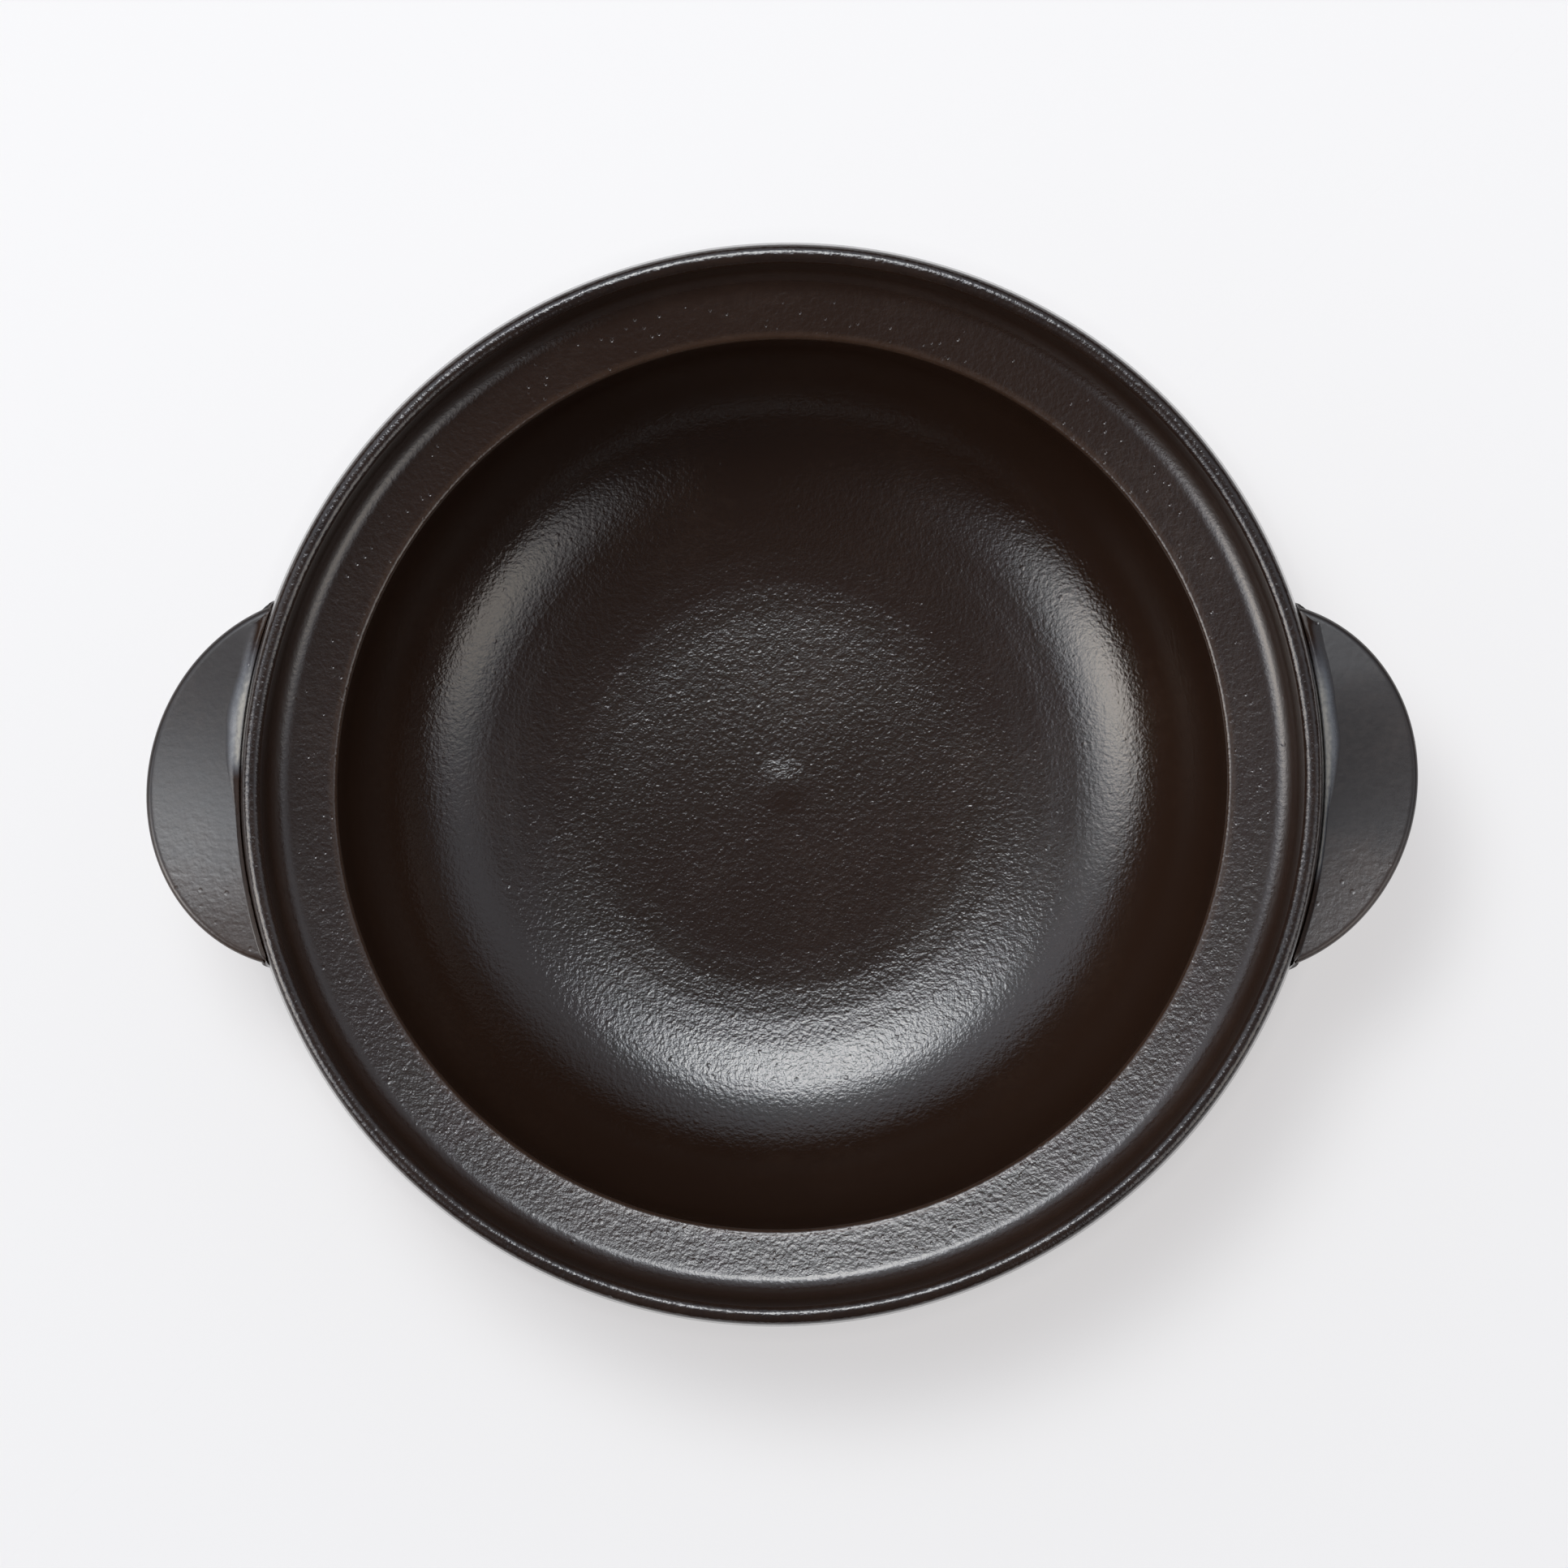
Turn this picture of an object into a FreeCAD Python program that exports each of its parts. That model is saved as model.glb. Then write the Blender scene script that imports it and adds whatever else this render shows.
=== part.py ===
"""A round clay pot with a lid ledge inside its rim and two ear handles luted on with slip.

Millimetres, +Z up, origin on the table under the middle of the pot.
The ears stand out along -X and +X.
"""

import FreeCAD, Part
import math
import os

# Collar and lip: drops are measured down from the top of the lip, insets in from the widest point
pot_height = 100.0
collar_radius = 132.5
collar_bulge_drop = 16.0
collar_bulge_round = 50.0
collar_foot_inset = 3.1
collar_drop = 30.0
collar_foot_round = 5.0
lip_inset = 2.5
lip_width = 4.0
lip_round = 2.2

# Ledge that carries a lid, inside the collar
gallery_draft = 1.5
gallery_drop = 13.5
gallery_fillet = 6.8
ledge_width = 16.0
ledge_fall = 3.0
mouth_edge_round = 1.3

# Bowl below the ledge
bowl_wall = 8.0
bowl_corner = 44.5
shoulder_drop = 9.0
shoulder_round = 9.0

# Floor: nearly flat in the middle, then a shallow dish that rises to the bowl's corner
floor_thickness = 8.0
floor_crown = 0.6
dish_radius = 60.0
dish_rise = 12.9
dish_round = 117.0

# Small boss that the forming tool leaves in the middle of the floor
boss_radius = 7.0
boss_tip_radius = 1.5
boss_height = 0.42
boss_tip_round = 14.0
boss_foot_round = 30.0

# Foot ring
foot_radius = 61.0
foot_width = 8.0
foot_height = 2.8
foot_taper = 1.0
foot_fillet = 1.6
foot_edge_round = 1.2

# Ear handles: part of an oval in plan, turned a little on its centre, with a shallow hollow for the thumb
ear_projection = 22.0
ear_oval_half_depth = 41.5
ear_oval_half_width = 46.0
ear_oval_side_shift = -0.8
ear_oval_turn_degrees = -20.2
ear_drop = 11.0
ear_thickness = 13.0
ear_top_round = 1.6
ear_under_round = 5.0
thumb_hollow_depth = 1.1
thumb_hollow_width = 58.0
thumb_hollow_shift = 3.0

# Slip that bonds each ear to the collar, with a hollowed bead above and below the ear
slip_thickness = 0.8
seam_top_round = 6.0
seam_top_bite = 1.6
seam_under_round = 3.4
seam_under_bite = 1.0
seam_spread = 1.6
seam_corner_round = 7.0
seam_patch_margin = 1.5

# A straight run shorter than this share of the pot's height is left out, because its arcs already meet
shortest_run_share = 1e-8

# Heights and radii that follow from the sizes above
lip_radius = collar_radius - lip_inset
collar_foot_radius = collar_radius - collar_foot_inset
gallery_foot_radius = lip_radius - lip_width - gallery_draft
mouth_radius = gallery_foot_radius - ledge_width
base_height = foot_height
floor_height = base_height + floor_thickness
ledge_outer_height = pot_height - gallery_drop
ledge_inner_height = ledge_outer_height - ledge_fall
collar_foot_height = pot_height - collar_drop
belly_radius = mouth_radius + bowl_wall
belly_top_height = collar_foot_height - shoulder_drop
ear_top_height = pot_height - ear_drop
ear_root_height = ear_top_height - ear_thickness
ear_reach = collar_radius + ear_projection
ear_oval_turn = math.radians(ear_oval_turn_degrees)
ear_oval_reach = math.hypot(ear_oval_half_depth * math.cos(ear_oval_turn),
                            ear_oval_half_width * math.sin(ear_oval_turn))
ear_oval_centre = ear_reach - ear_oval_reach
seam_top_foot = ear_top_height - seam_top_bite
seam_under_foot = ear_root_height + seam_under_bite
seam_top_height = seam_top_foot + seam_top_round
seam_bottom_height = seam_under_foot - seam_under_round
shortest_run = pot_height * shortest_run_share

up = FreeCAD.Vector(0, 0, 1)
origin = FreeCAD.Vector(0, 0, 0)


def section_point(radius, height):
    """A point of the half section, which lies in the XZ plane."""
    return FreeCAD.Vector(radius, 0, height)


def tangent_lengths(points, roundings):
    """How far each corner's arc reaches along its two runs, kept within those runs."""
    count = len(points)
    reach = []
    for i in range(count):
        run_in = points[i] - points[i - 1]
        run_out = points[(i + 1) % count] - points[i]
        reach.append(roundings[i] * math.tan(run_in.getAngle(run_out) / 2))
    kept = list(reach)
    for i in range(count):
        following = (i + 1) % count
        run = (points[following] - points[i]).Length
        needed = reach[i] + reach[following]
        if needed > run:
            kept[i] = min(kept[i], reach[i] * run / needed)
            kept[following] = min(kept[following], reach[following] * run / needed)
    return kept


def corner_arc(before, corner, after, reach):
    """The arc that rounds one corner, touching both runs at the given reach."""
    towards_before = (before - corner).normalize()
    towards_after = (after - corner).normalize()
    start = corner + towards_before * reach
    end = corner + towards_after * reach
    half_angle = towards_before.getAngle(towards_after) / 2
    radius = reach * math.tan(half_angle)
    bisector = (towards_before + towards_after).normalize()
    middle = corner + bisector * (radius / math.sin(half_angle) - radius)
    return start, middle, end


def rounded_face(corners):
    """A flat face inside (radius, height, rounding) corners: straight runs joined by tangent arcs."""
    points = [section_point(radius, height) for radius, height, rounding in corners]
    reaches = tangent_lengths(points, [corner[2] for corner in corners])
    edges = []
    starts = []
    ends = []
    for i, point in enumerate(points):
        if reaches[i] == 0:
            starts.append(point)
            ends.append(point)
            continue
        following = points[(i + 1) % len(points)]
        start, middle, end = corner_arc(points[i - 1], point, following, reaches[i])
        edges.append(Part.Arc(start, middle, end).toShape())
        starts.append(start)
        ends.append(end)
    for i, end in enumerate(ends):
        start = starts[(i + 1) % len(points)]
        if (start - end).Length > shortest_run:
            edges.append(Part.LineSegment(end, start).toShape())
    return Part.Face(Part.Wire(Part.__sortEdges__(edges)))


def turned(corners):
    """The solid that a half section makes when it turns about the pot's axis."""
    return rounded_face(corners).revolve(origin, up, 360)


def collar_corners(growth):
    """The outside of the lip, collar and shoulder, grown outwards, from the top down."""
    return [
        (lip_radius + growth, pot_height, lip_round),
        (collar_radius + growth, pot_height - collar_bulge_drop, collar_bulge_round),
        (collar_foot_radius + growth, collar_foot_height, collar_foot_round),
        (belly_radius + growth, belly_top_height, shoulder_round),
    ]


def floor_corners():
    """The inside of the floor, from the boss on the axis to the bowl's wall."""
    boss_foot = floor_height + floor_crown * (1 - boss_radius / dish_radius)
    boss_top = boss_foot + boss_height
    return [
        (0, boss_top, 0),
        (boss_tip_radius, boss_top, boss_tip_round),
        (boss_radius, boss_foot, boss_foot_round),
        (dish_radius, floor_height, dish_round),
        (mouth_radius, floor_height + dish_rise, bowl_corner),
    ]


def gallery_corners():
    """The mouth, the ledge for the lid and the inside of the lip, from the bottom up."""
    return [
        (mouth_radius, ledge_inner_height, mouth_edge_round),
        (gallery_foot_radius, ledge_outer_height, gallery_fillet),
        (lip_radius - lip_width, pot_height, lip_round),
    ]


def foot_corners():
    """The belly's turn into the base, and the foot ring with the hollow inside it."""
    foot_inner_radius = foot_radius - foot_width
    return [
        (belly_radius, base_height, bowl_corner + bowl_wall),
        (foot_radius, base_height, foot_fillet),
        (foot_radius - foot_taper, 0, foot_edge_round),
        (foot_inner_radius + foot_taper, 0, foot_edge_round),
        (foot_inner_radius, base_height, foot_fillet),
        (0, base_height, 0),
    ]


def make_pot_body():
    return turned(floor_corners() + gallery_corners() + collar_corners(0) + foot_corners())


def collar_core(growth):
    """The pot's filled outside at the height of the ears, grown by the slip's thickness."""
    top = [(0, pot_height, 0)]
    bottom = [(belly_radius + growth, base_height, 0), (0, base_height, 0)]
    return turned(top + collar_corners(growth) + bottom)


def oval_prism(growth, bottom, top):
    """The ear's oval outline, grown sideways, as an upright prism between two heights."""
    outwards = ear_oval_half_depth + growth
    across = ear_oval_half_width + growth
    oval = Part.Ellipse(origin, max(outwards, across), min(outwards, across)).toShape()
    long_axis_degrees = 90 if across > outwards else 0
    oval.rotate(origin, up, long_axis_degrees + ear_oval_turn_degrees)
    face = Part.Face(Part.Wire(oval))
    face.translate(FreeCAD.Vector(ear_oval_centre, ear_oval_side_shift, bottom))
    return face.extrude(up * (top - bottom))


def edges_facing(solid, direction):
    """The edges round the flat face that looks most nearly in one direction."""
    flat_faces = [face for face in solid.Faces if isinstance(face.Surface, Part.Plane)]
    facing = max(flat_faces, key=lambda face: face.normalAt(0, 0).dot(direction))
    return facing.Edges


def thumb_hollow():
    """A large ball whose lowest cap sinks the shallow hollow into the top of the ear."""
    half_width = thumb_hollow_width / 2
    radius = (half_width**2 + thumb_hollow_depth**2) / (2 * thumb_hollow_depth)
    middle = (ear_reach + collar_radius) / 2 - thumb_hollow_shift
    centre = section_point(middle, ear_top_height - thumb_hollow_depth + radius)
    return Part.makeSphere(radius, centre)


def make_ear():
    """The ear on the +X side, cut to the slip's outer face."""
    blank = oval_prism(0, ear_root_height, ear_top_height)
    blank = blank.makeFillet(ear_top_round, edges_facing(blank, up))
    blank = blank.makeFillet(ear_under_round, edges_facing(blank, -up))
    return blank.cut(thumb_hollow()).cut(collar_core(slip_thickness))


def seam_corners():
    """The half section of the slip: a hollow bead above the ear and a smaller one below it.

    Both beads run a little way into the ear, so that they meet its faces at an angle.
    """
    buried_radius = lip_radius - lip_width
    return [
        (buried_radius, seam_top_height, 0),
        (collar_radius, seam_top_height, 0),
        (collar_radius, seam_top_foot, seam_top_round),
        (collar_radius + seam_top_round, seam_top_foot, 0),
        (collar_radius + seam_under_round, seam_under_foot, 0),
        (collar_radius, seam_under_foot, seam_under_round),
        (collar_radius, seam_bottom_height, 0),
        (buried_radius, seam_bottom_height, 0),
    ]


def seam_patch(ear):
    """A bar along +X whose rounded outline is the patch of collar that the slip covers."""
    ear_box = ear.optimalBoundingBox()
    front = ear_box.YMin - seam_spread
    back = ear_box.YMax + seam_spread
    bottom = seam_bottom_height - seam_patch_margin
    top = seam_top_height + seam_patch_margin
    outline = rounded_face([
        (front, bottom, seam_corner_round),
        (back, bottom, seam_corner_round),
        (back, top, seam_corner_round),
        (front, top, seam_corner_round),
    ])
    outline.rotate(origin, up, 90)
    return outline.extrude(FreeCAD.Vector(ear_reach, 0, 0))


def make_slip_seam(ear):
    """The slip behind the +X ear, with a smoothed bead all round the ear's root."""
    plan = oval_prism(seam_spread, base_height, pot_height)
    bead = turned(seam_corners()).common(plan)
    return bead.cut(collar_core(0)).cut(ear).common(seam_patch(ear))


def other_side(solid):
    """The same piece on the -X side of the pot."""
    turned_round = solid.copy()
    turned_round.rotate(origin, up, 180)
    return turned_round


def main():
    right_ear = make_ear()
    right_seam = make_slip_seam(right_ear)
    pieces = {
        "pot_body": make_pot_body(),
        "right_handle": right_ear,
        "left_handle": other_side(right_ear),
        "right_slip_seam": right_seam,
        "left_slip_seam": other_side(right_seam),
    }
    os.makedirs("parts", exist_ok=True)
    for name, shape in pieces.items():
        shape.exportStep(f"parts/{name}.step")
        print(name, "solids", len(shape.Solids), "valid", shape.isValid(), "volume", round(shape.Volume))


main()
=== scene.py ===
"""A dark glazed clay pot with a lid ledge inside its rim and two ear handles luted on with slip.

Metres, +Z up, origin on the table under the middle of the pot.
The ears stand out along -X and +X, and the photograph looks straight down with +Y at its top.
"""

import bmesh
import bpy
import math
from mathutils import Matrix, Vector, noise


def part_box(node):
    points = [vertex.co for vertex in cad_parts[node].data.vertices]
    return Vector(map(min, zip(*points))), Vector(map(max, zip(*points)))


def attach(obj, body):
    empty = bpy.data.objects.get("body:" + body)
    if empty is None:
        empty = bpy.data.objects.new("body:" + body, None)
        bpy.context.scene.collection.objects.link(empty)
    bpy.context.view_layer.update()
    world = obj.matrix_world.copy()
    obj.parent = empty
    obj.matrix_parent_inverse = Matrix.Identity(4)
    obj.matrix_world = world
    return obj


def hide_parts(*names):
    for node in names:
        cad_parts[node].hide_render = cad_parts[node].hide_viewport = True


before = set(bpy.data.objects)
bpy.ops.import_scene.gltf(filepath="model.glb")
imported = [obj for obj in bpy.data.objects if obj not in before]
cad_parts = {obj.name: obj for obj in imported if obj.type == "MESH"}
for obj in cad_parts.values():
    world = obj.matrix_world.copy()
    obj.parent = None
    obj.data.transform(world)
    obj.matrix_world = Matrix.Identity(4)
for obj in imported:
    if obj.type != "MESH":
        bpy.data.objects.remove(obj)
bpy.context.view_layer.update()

mm = 0.001

# Collar and lip: drops are measured down from the top of the lip, insets in from the widest point
pot_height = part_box("pot_body")[1].z
collar_radius = 132.5 * mm
collar_bulge_drop = 16.0 * mm
collar_bulge_round = 50.0 * mm
collar_foot_inset = 3.1 * mm
collar_drop = 30.0 * mm
collar_foot_round = 5.0 * mm
lip_inset = 2.5 * mm
lip_width = 4.0 * mm
lip_round = 2.2 * mm

# Ledge that carries a lid, inside the collar
gallery_draft = 1.5 * mm
gallery_drop = 13.5 * mm
gallery_fillet = 6.8 * mm
ledge_width = 16.0 * mm
ledge_fall = 3.0 * mm
mouth_edge_round = 1.3 * mm

# Bowl below the ledge
bowl_wall = 8.0 * mm
bowl_corner = 44.5 * mm
shoulder_drop = 9.0 * mm
shoulder_round = 9.0 * mm

# Floor: nearly flat in the middle, then a shallow dish that rises to the bowl's corner
floor_thickness = 8.0 * mm
floor_crown = 0.6 * mm
dish_radius = 60.0 * mm
dish_rise = 12.9 * mm
dish_round = 117.0 * mm

# Small boss that the forming tool leaves in the middle of the floor
boss_radius = 7.0 * mm
boss_tip_radius = 1.5 * mm
boss_height = 0.3 * mm
boss_tip_round = 14.0 * mm
boss_foot_round = 30.0 * mm

# Foot ring
foot_radius = 61.0 * mm
foot_width = 8.0 * mm
foot_height = 2.8 * mm
foot_taper = 1.0 * mm
foot_fillet = 1.6 * mm
foot_edge_round = 1.2 * mm

# Ear handles: part of an oval in plan, turned a little on its centre
ear_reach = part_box("right_handle")[1].x
ear_top_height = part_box("right_handle")[1].z
ear_root_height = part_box("right_handle")[0].z
ear_oval_half_depth = 41.5 * mm
ear_oval_half_width = 46.0 * mm
ear_oval_side_shift = -0.8 * mm
ear_oval_turn = math.radians(-20.2)
ear_top_round = 1.6 * mm
ear_under_round = 5.0 * mm
thumb_hollow_depth = 1.8 * mm
thumb_hollow_width = 84.0 * mm
thumb_hollow_shift = 3.0 * mm
ear_widest_azimuth = math.radians(22)

# Each ear was luted on leaning a little towards the back, with its hollow pressed a little to one side
right_ear_lean = math.radians(3.9)
left_ear_lean = math.radians(4.0)
right_hollow_y = -13.0 * mm
left_hollow_y = 8.0 * mm

# Slip that bonds each ear to the collar: smoothed wide at the back, left as a narrow ridge at the front
slip_thickness = 0.8 * mm
seam_top_height = 3.6 * mm
seam_narrow_width = 1.5 * mm
seam_wide_width = 5.2 * mm
seam_narrow_y = -10.0 * mm
seam_wide_y = 12.0 * mm
seam_under_height = 3.0 * mm
seam_under_width = 3.0 * mm
seam_carried_share = 0.85
seam_hidden_share = 0.98
seam_feather = 0.3 * mm
seam_spread = 0.7 * mm
seam_wrap = 2.5 * mm
seam_fade = 3.0 * mm
seam_sink = 0.05 * mm
seam_burial = 0.25 * mm
seam_lump_length = 11.0 * mm
seam_lump_share = 0.2
seam_grit_length = 1.6 * mm
seam_grit_height = 0.05 * mm
seam_end_grit_share = 4.0

# A painted highlight lies along the slip's ridge: where along each ear that starts, is fullest and ends
highlight_start_y = 37.0 * mm
highlight_full_y = 20.0 * mm
right_highlight_end_y = -18.0 * mm
left_highlight_end_y = 8.0 * mm
highlight_fade = 7.0 * mm

# Places across the slip as shares from collar to ear: the painted highlight's two sides and the ear's own
# glaze
highlight_rise_shares = (0.06, 0.28)
highlight_fall_shares = (0.92, 0.32)
ear_glaze_shares = (0.35, 0.95)

# Throwing and firing leave the pot a little out of round and its lip a little uneven
oval_share = 0.0063
oval_azimuth = math.radians(45)
shrink_share = 0.0006
lip_unevenness = 0.12 * mm
lip_wave_length = 18.0 * mm

# Fineness of the meshes
pot_segments = 288
longest_step = 2.5 * mm
arc_step = math.radians(4.5)
ear_sections = 180
ear_top_steps = 30
ear_top_crowding = 2.2
ear_side_steps = 8
seam_sections = 300
seam_cove_steps = 10
seam_back_steps = 8
room_search_steps = 50
weld_distance = 0.002 * mm
pot_sharp_angle = math.radians(60)
ear_sharp_angle = math.radians(50)

# Radii and heights that follow from the sizes above
lip_radius = collar_radius - lip_inset
collar_foot_radius = collar_radius - collar_foot_inset
gallery_foot_radius = lip_radius - lip_width - gallery_draft
mouth_radius = gallery_foot_radius - ledge_width
base_height = foot_height
floor_height = base_height + floor_thickness
ledge_outer_height = pot_height - gallery_drop
ledge_inner_height = ledge_outer_height - ledge_fall
collar_foot_height = pot_height - collar_drop
belly_radius = mouth_radius + bowl_wall
belly_top_height = collar_foot_height - shoulder_drop
ear_oval_reach = math.hypot(ear_oval_half_depth * math.cos(ear_oval_turn),
                            ear_oval_half_width * math.sin(ear_oval_turn))
ear_oval_centre = Vector((ear_reach - ear_oval_reach, ear_oval_side_shift))


# Outlines and meshes

def corner_arc(before, corner, after, rounding):
    """Points along the arc that rounds one corner of an outline."""
    to_before = (before - corner).normalized()
    to_after = (after - corner).normalized()
    half_angle = to_before.angle(to_after) / 2
    turn = math.pi - 2 * half_angle
    centre = corner + (to_before + to_after).normalized() * (rounding / math.sin(half_angle))
    spoke = corner + to_before * (rounding / math.tan(half_angle)) - centre
    end = corner + to_after * (rounding / math.tan(half_angle)) - centre
    steps = max(2, math.ceil(turn / arc_step))
    sense = math.copysign(1, spoke.x * end.y - spoke.y * end.x)
    points = []
    for i in range(steps + 1):
        angle = sense * turn * i / steps
        points.append(centre + Vector((spoke.x * math.cos(angle) - spoke.y * math.sin(angle),
                                       spoke.x * math.sin(angle) + spoke.y * math.cos(angle))))
    return points


def rounded_outline(corners):
    """Closely spaced points along an outline of (radius, height, rounding) corners."""
    points = [Vector(corner[:2]) for corner in corners]
    rough = [points[0]]
    for i in range(1, len(points) - 1):
        if corners[i][2] == 0:
            rough.append(points[i])
        else:
            rough += corner_arc(points[i - 1], points[i], points[i + 1], corners[i][2])
    rough.append(points[-1])
    outline = [rough[0]]
    for start, end in zip(rough, rough[1:]):
        steps = max(1, math.ceil((end - start).length / longest_step))
        outline += [start.lerp(end, i / steps) for i in range(1, steps + 1)]
    return outline


def out_of_round(azimuth):
    """How much wider than a true circle the pot is in one direction, with its overall box kept."""
    swing = math.cos(2 * (azimuth - oval_azimuth)) - 2 * oval_share
    return 1 + oval_share * swing - shrink_share


def smooth_step(value, start, end):
    """A share that rises smoothly from 0 at start to 1 at end."""
    share = min(max((value - start) / (end - start), 0), 1)
    return share * share * (3 - 2 * share)


# Collections that say what each lamp lights
pot_only = bpy.data.collections.new("pot_only")
paper_only = bpy.data.collections.new("paper_only")


def mesh_piece(name, points, faces, material, node, sharp_angle, marks=None):
    """A finished piece in place of one node of the frame; its glaze reads the mark at each point."""
    shape = bmesh.new()
    layer = shape.verts.layers.float.new("glaze_mark")
    corners = [shape.verts.new(point) for point in points]
    for corner, mark in zip(corners, marks or []):
        corner[layer] = mark
    for face in faces:
        shape.faces.new([corners[i] for i in face])
    bmesh.ops.remove_doubles(shape, verts=shape.verts, dist=weld_distance)
    bmesh.ops.recalc_face_normals(shape, faces=shape.faces)
    mesh = bpy.data.meshes.new(name)
    shape.to_mesh(mesh)
    shape.free()
    mesh.materials.append(material)
    mesh.shade_smooth()
    mesh.set_sharp_from_angle(angle=sharp_angle)
    piece = bpy.data.objects.new(name, mesh)
    bpy.context.scene.collection.objects.link(piece)
    pot_only.objects.link(piece)
    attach(piece, "root")
    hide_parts(node)


# Pot body

def floor_corners():
    """The inside of the floor, from the boss on the axis to the bowl's wall."""
    boss_foot = floor_height + floor_crown * (1 - boss_radius / dish_radius)
    boss_top = boss_foot + boss_height
    return [
        (0, boss_top, 0),
        (boss_tip_radius, boss_top, boss_tip_round),
        (boss_radius, boss_foot, boss_foot_round),
        (dish_radius, floor_height, dish_round),
        (mouth_radius, floor_height + dish_rise, bowl_corner),
    ]


def gallery_corners():
    """The mouth, the ledge for the lid and the inside of the lip, from the bottom up."""
    return [
        (mouth_radius, ledge_inner_height, mouth_edge_round),
        (gallery_foot_radius, ledge_outer_height, gallery_fillet),
        (lip_radius - lip_width, pot_height, lip_round),
    ]


def collar_corners():
    """The outside of the lip, collar and shoulder, from the top down."""
    return [
        (lip_radius, pot_height, lip_round),
        (collar_radius, pot_height - collar_bulge_drop, collar_bulge_round),
        (collar_foot_radius, collar_foot_height, collar_foot_round),
        (belly_radius, belly_top_height, shoulder_round),
    ]


def foot_corners():
    """The belly's turn into the base, and the foot ring with the hollow inside it."""
    foot_inner_radius = foot_radius - foot_width
    return [
        (belly_radius, base_height, bowl_corner + bowl_wall),
        (foot_radius, base_height, foot_fillet),
        (foot_radius - foot_taper, 0, foot_edge_round),
        (foot_inner_radius + foot_taper, 0, foot_edge_round),
        (foot_inner_radius, base_height, foot_fillet),
        (0, base_height, 0),
    ]


def running_lengths(outline):
    """The distance along an outline at each of its points."""
    lengths = [0]
    for start, end in zip(outline, outline[1:]):
        lengths.append(lengths[-1] + (end - start).length)
    return lengths


pot_outline = rounded_outline(floor_corners() + gallery_corners() + collar_corners() + foot_corners())
pot_lengths = running_lengths(pot_outline)


def along_at(radius, height):
    """The distance along the pot's outline of the point nearest to a place."""
    place = Vector((radius, height))
    nearest = min(range(len(pot_outline)), key=lambda i: (pot_outline[i] - place).length)
    return pot_lengths[nearest]


def lip_wave(direction):
    """The lip's small fall in one direction."""
    place = Vector((direction.x, direction.y, 0)) * (lip_radius / lip_wave_length)
    return lip_unevenness * (noise.noise(place) - 1)


def make_pot_body(material):
    """The turned bowl, a little out of round, with its lip a little uneven."""
    points = []
    faces = []
    marks = []
    for i in range(pot_segments):
        azimuth = 2 * math.pi * i / pot_segments
        direction = Vector((math.cos(azimuth), math.sin(azimuth), 0))
        wave = lip_wave(direction)
        width = out_of_round(azimuth)
        for (radius, height), length in zip(pot_outline, pot_lengths):
            near_lip = smooth_step(height, ledge_outer_height, pot_height)
            points.append(direction * radius * width + Vector((0, 0, height + wave * near_lip)))
            marks.append(length)
    count = len(pot_outline)
    for i in range(pot_segments):
        here = i * count
        there = (i + 1) % pot_segments * count
        for j in range(count - 1):
            if pot_outline[j].x == 0:
                faces.append((here, there + 1, here + 1))
            elif pot_outline[j + 1].x == 0:
                faces.append((here + j, there + j, here + j + 1))
            else:
                faces.append((here + j, there + j, there + j + 1, here + j + 1))
    mesh_piece("pot_body_glazed", points, faces, material, "pot_body", pot_sharp_angle, marks)


# Ear handles, worked out for the right ear and turned half round for the left one

collar_outline = rounded_outline(gallery_corners()[1:] + collar_corners() + foot_corners()[:2])


def collar_face(height):
    """The radius of the collar's outer face at one height, on a pot that is truly round."""
    return max(a.x + (b.x - a.x) * (height - a.y) / (b.y - a.y)
               for a, b in zip(collar_outline, collar_outline[1:])
               if min(a.y, b.y) <= height <= max(a.y, b.y) and a.y != b.y)


def oval_frame(place):
    """A plan point in the ear oval's own turned axes."""
    away = place - ear_oval_centre
    cosine = math.cos(ear_oval_turn)
    sine = math.sin(ear_oval_turn)
    return Vector((away.x * cosine + away.y * sine, away.y * cosine - away.x * sine))


def ear_edge_radius(azimuth):
    """How far from the pot's axis the ear's outline lies in one direction."""
    direction = Vector((math.cos(azimuth), math.sin(azimuth)))
    start = oval_frame(Vector((0, 0)))
    step = oval_frame(direction) - start
    a = (step.x / ear_oval_half_depth) ** 2 + (step.y / ear_oval_half_width) ** 2
    b = start.x * step.x / ear_oval_half_depth ** 2 + start.y * step.y / ear_oval_half_width ** 2
    c = (start.x / ear_oval_half_depth) ** 2 + (start.y / ear_oval_half_width) ** 2 - 1
    return (math.sqrt(max(b * b - a * c, 0)) - b) / a


def edge_distance(place):
    """How far inside the ear's outline a plan point lies."""
    away = oval_frame(place)
    share = math.hypot(away.x / ear_oval_half_depth, away.y / ear_oval_half_width)
    slope = math.hypot(away.x / ear_oval_half_depth ** 2, away.y / ear_oval_half_width ** 2) / share
    return max((1 - share) / slope, 0)


def rounding_drop(distance, rounding):
    """How far a rounded edge has fallen at a distance in from the outline."""
    if distance >= rounding:
        return 0
    return rounding - math.sqrt(rounding ** 2 - (rounding - distance) ** 2)


def thumb_hollow(place, side_shift):
    """The depth of the shallow hollow in the top of the ear, which runs out softly at its edge."""
    middle = Vector(((ear_reach + collar_radius) / 2 - thumb_hollow_shift, side_shift))
    share = (place - middle).length / (thumb_hollow_width / 2)
    return thumb_hollow_depth * max(1 - share ** 2, 0) ** 2


def ear_top(place, setting):
    """The height of the ear's top over a plan point; setting is its slope and its hollow's side shift."""
    slope, side_shift = setting
    hollow = thumb_hollow(place, side_shift)
    return ear_top_height - hollow - rounding_drop(edge_distance(place), ear_top_round) + slope * place.y


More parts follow.
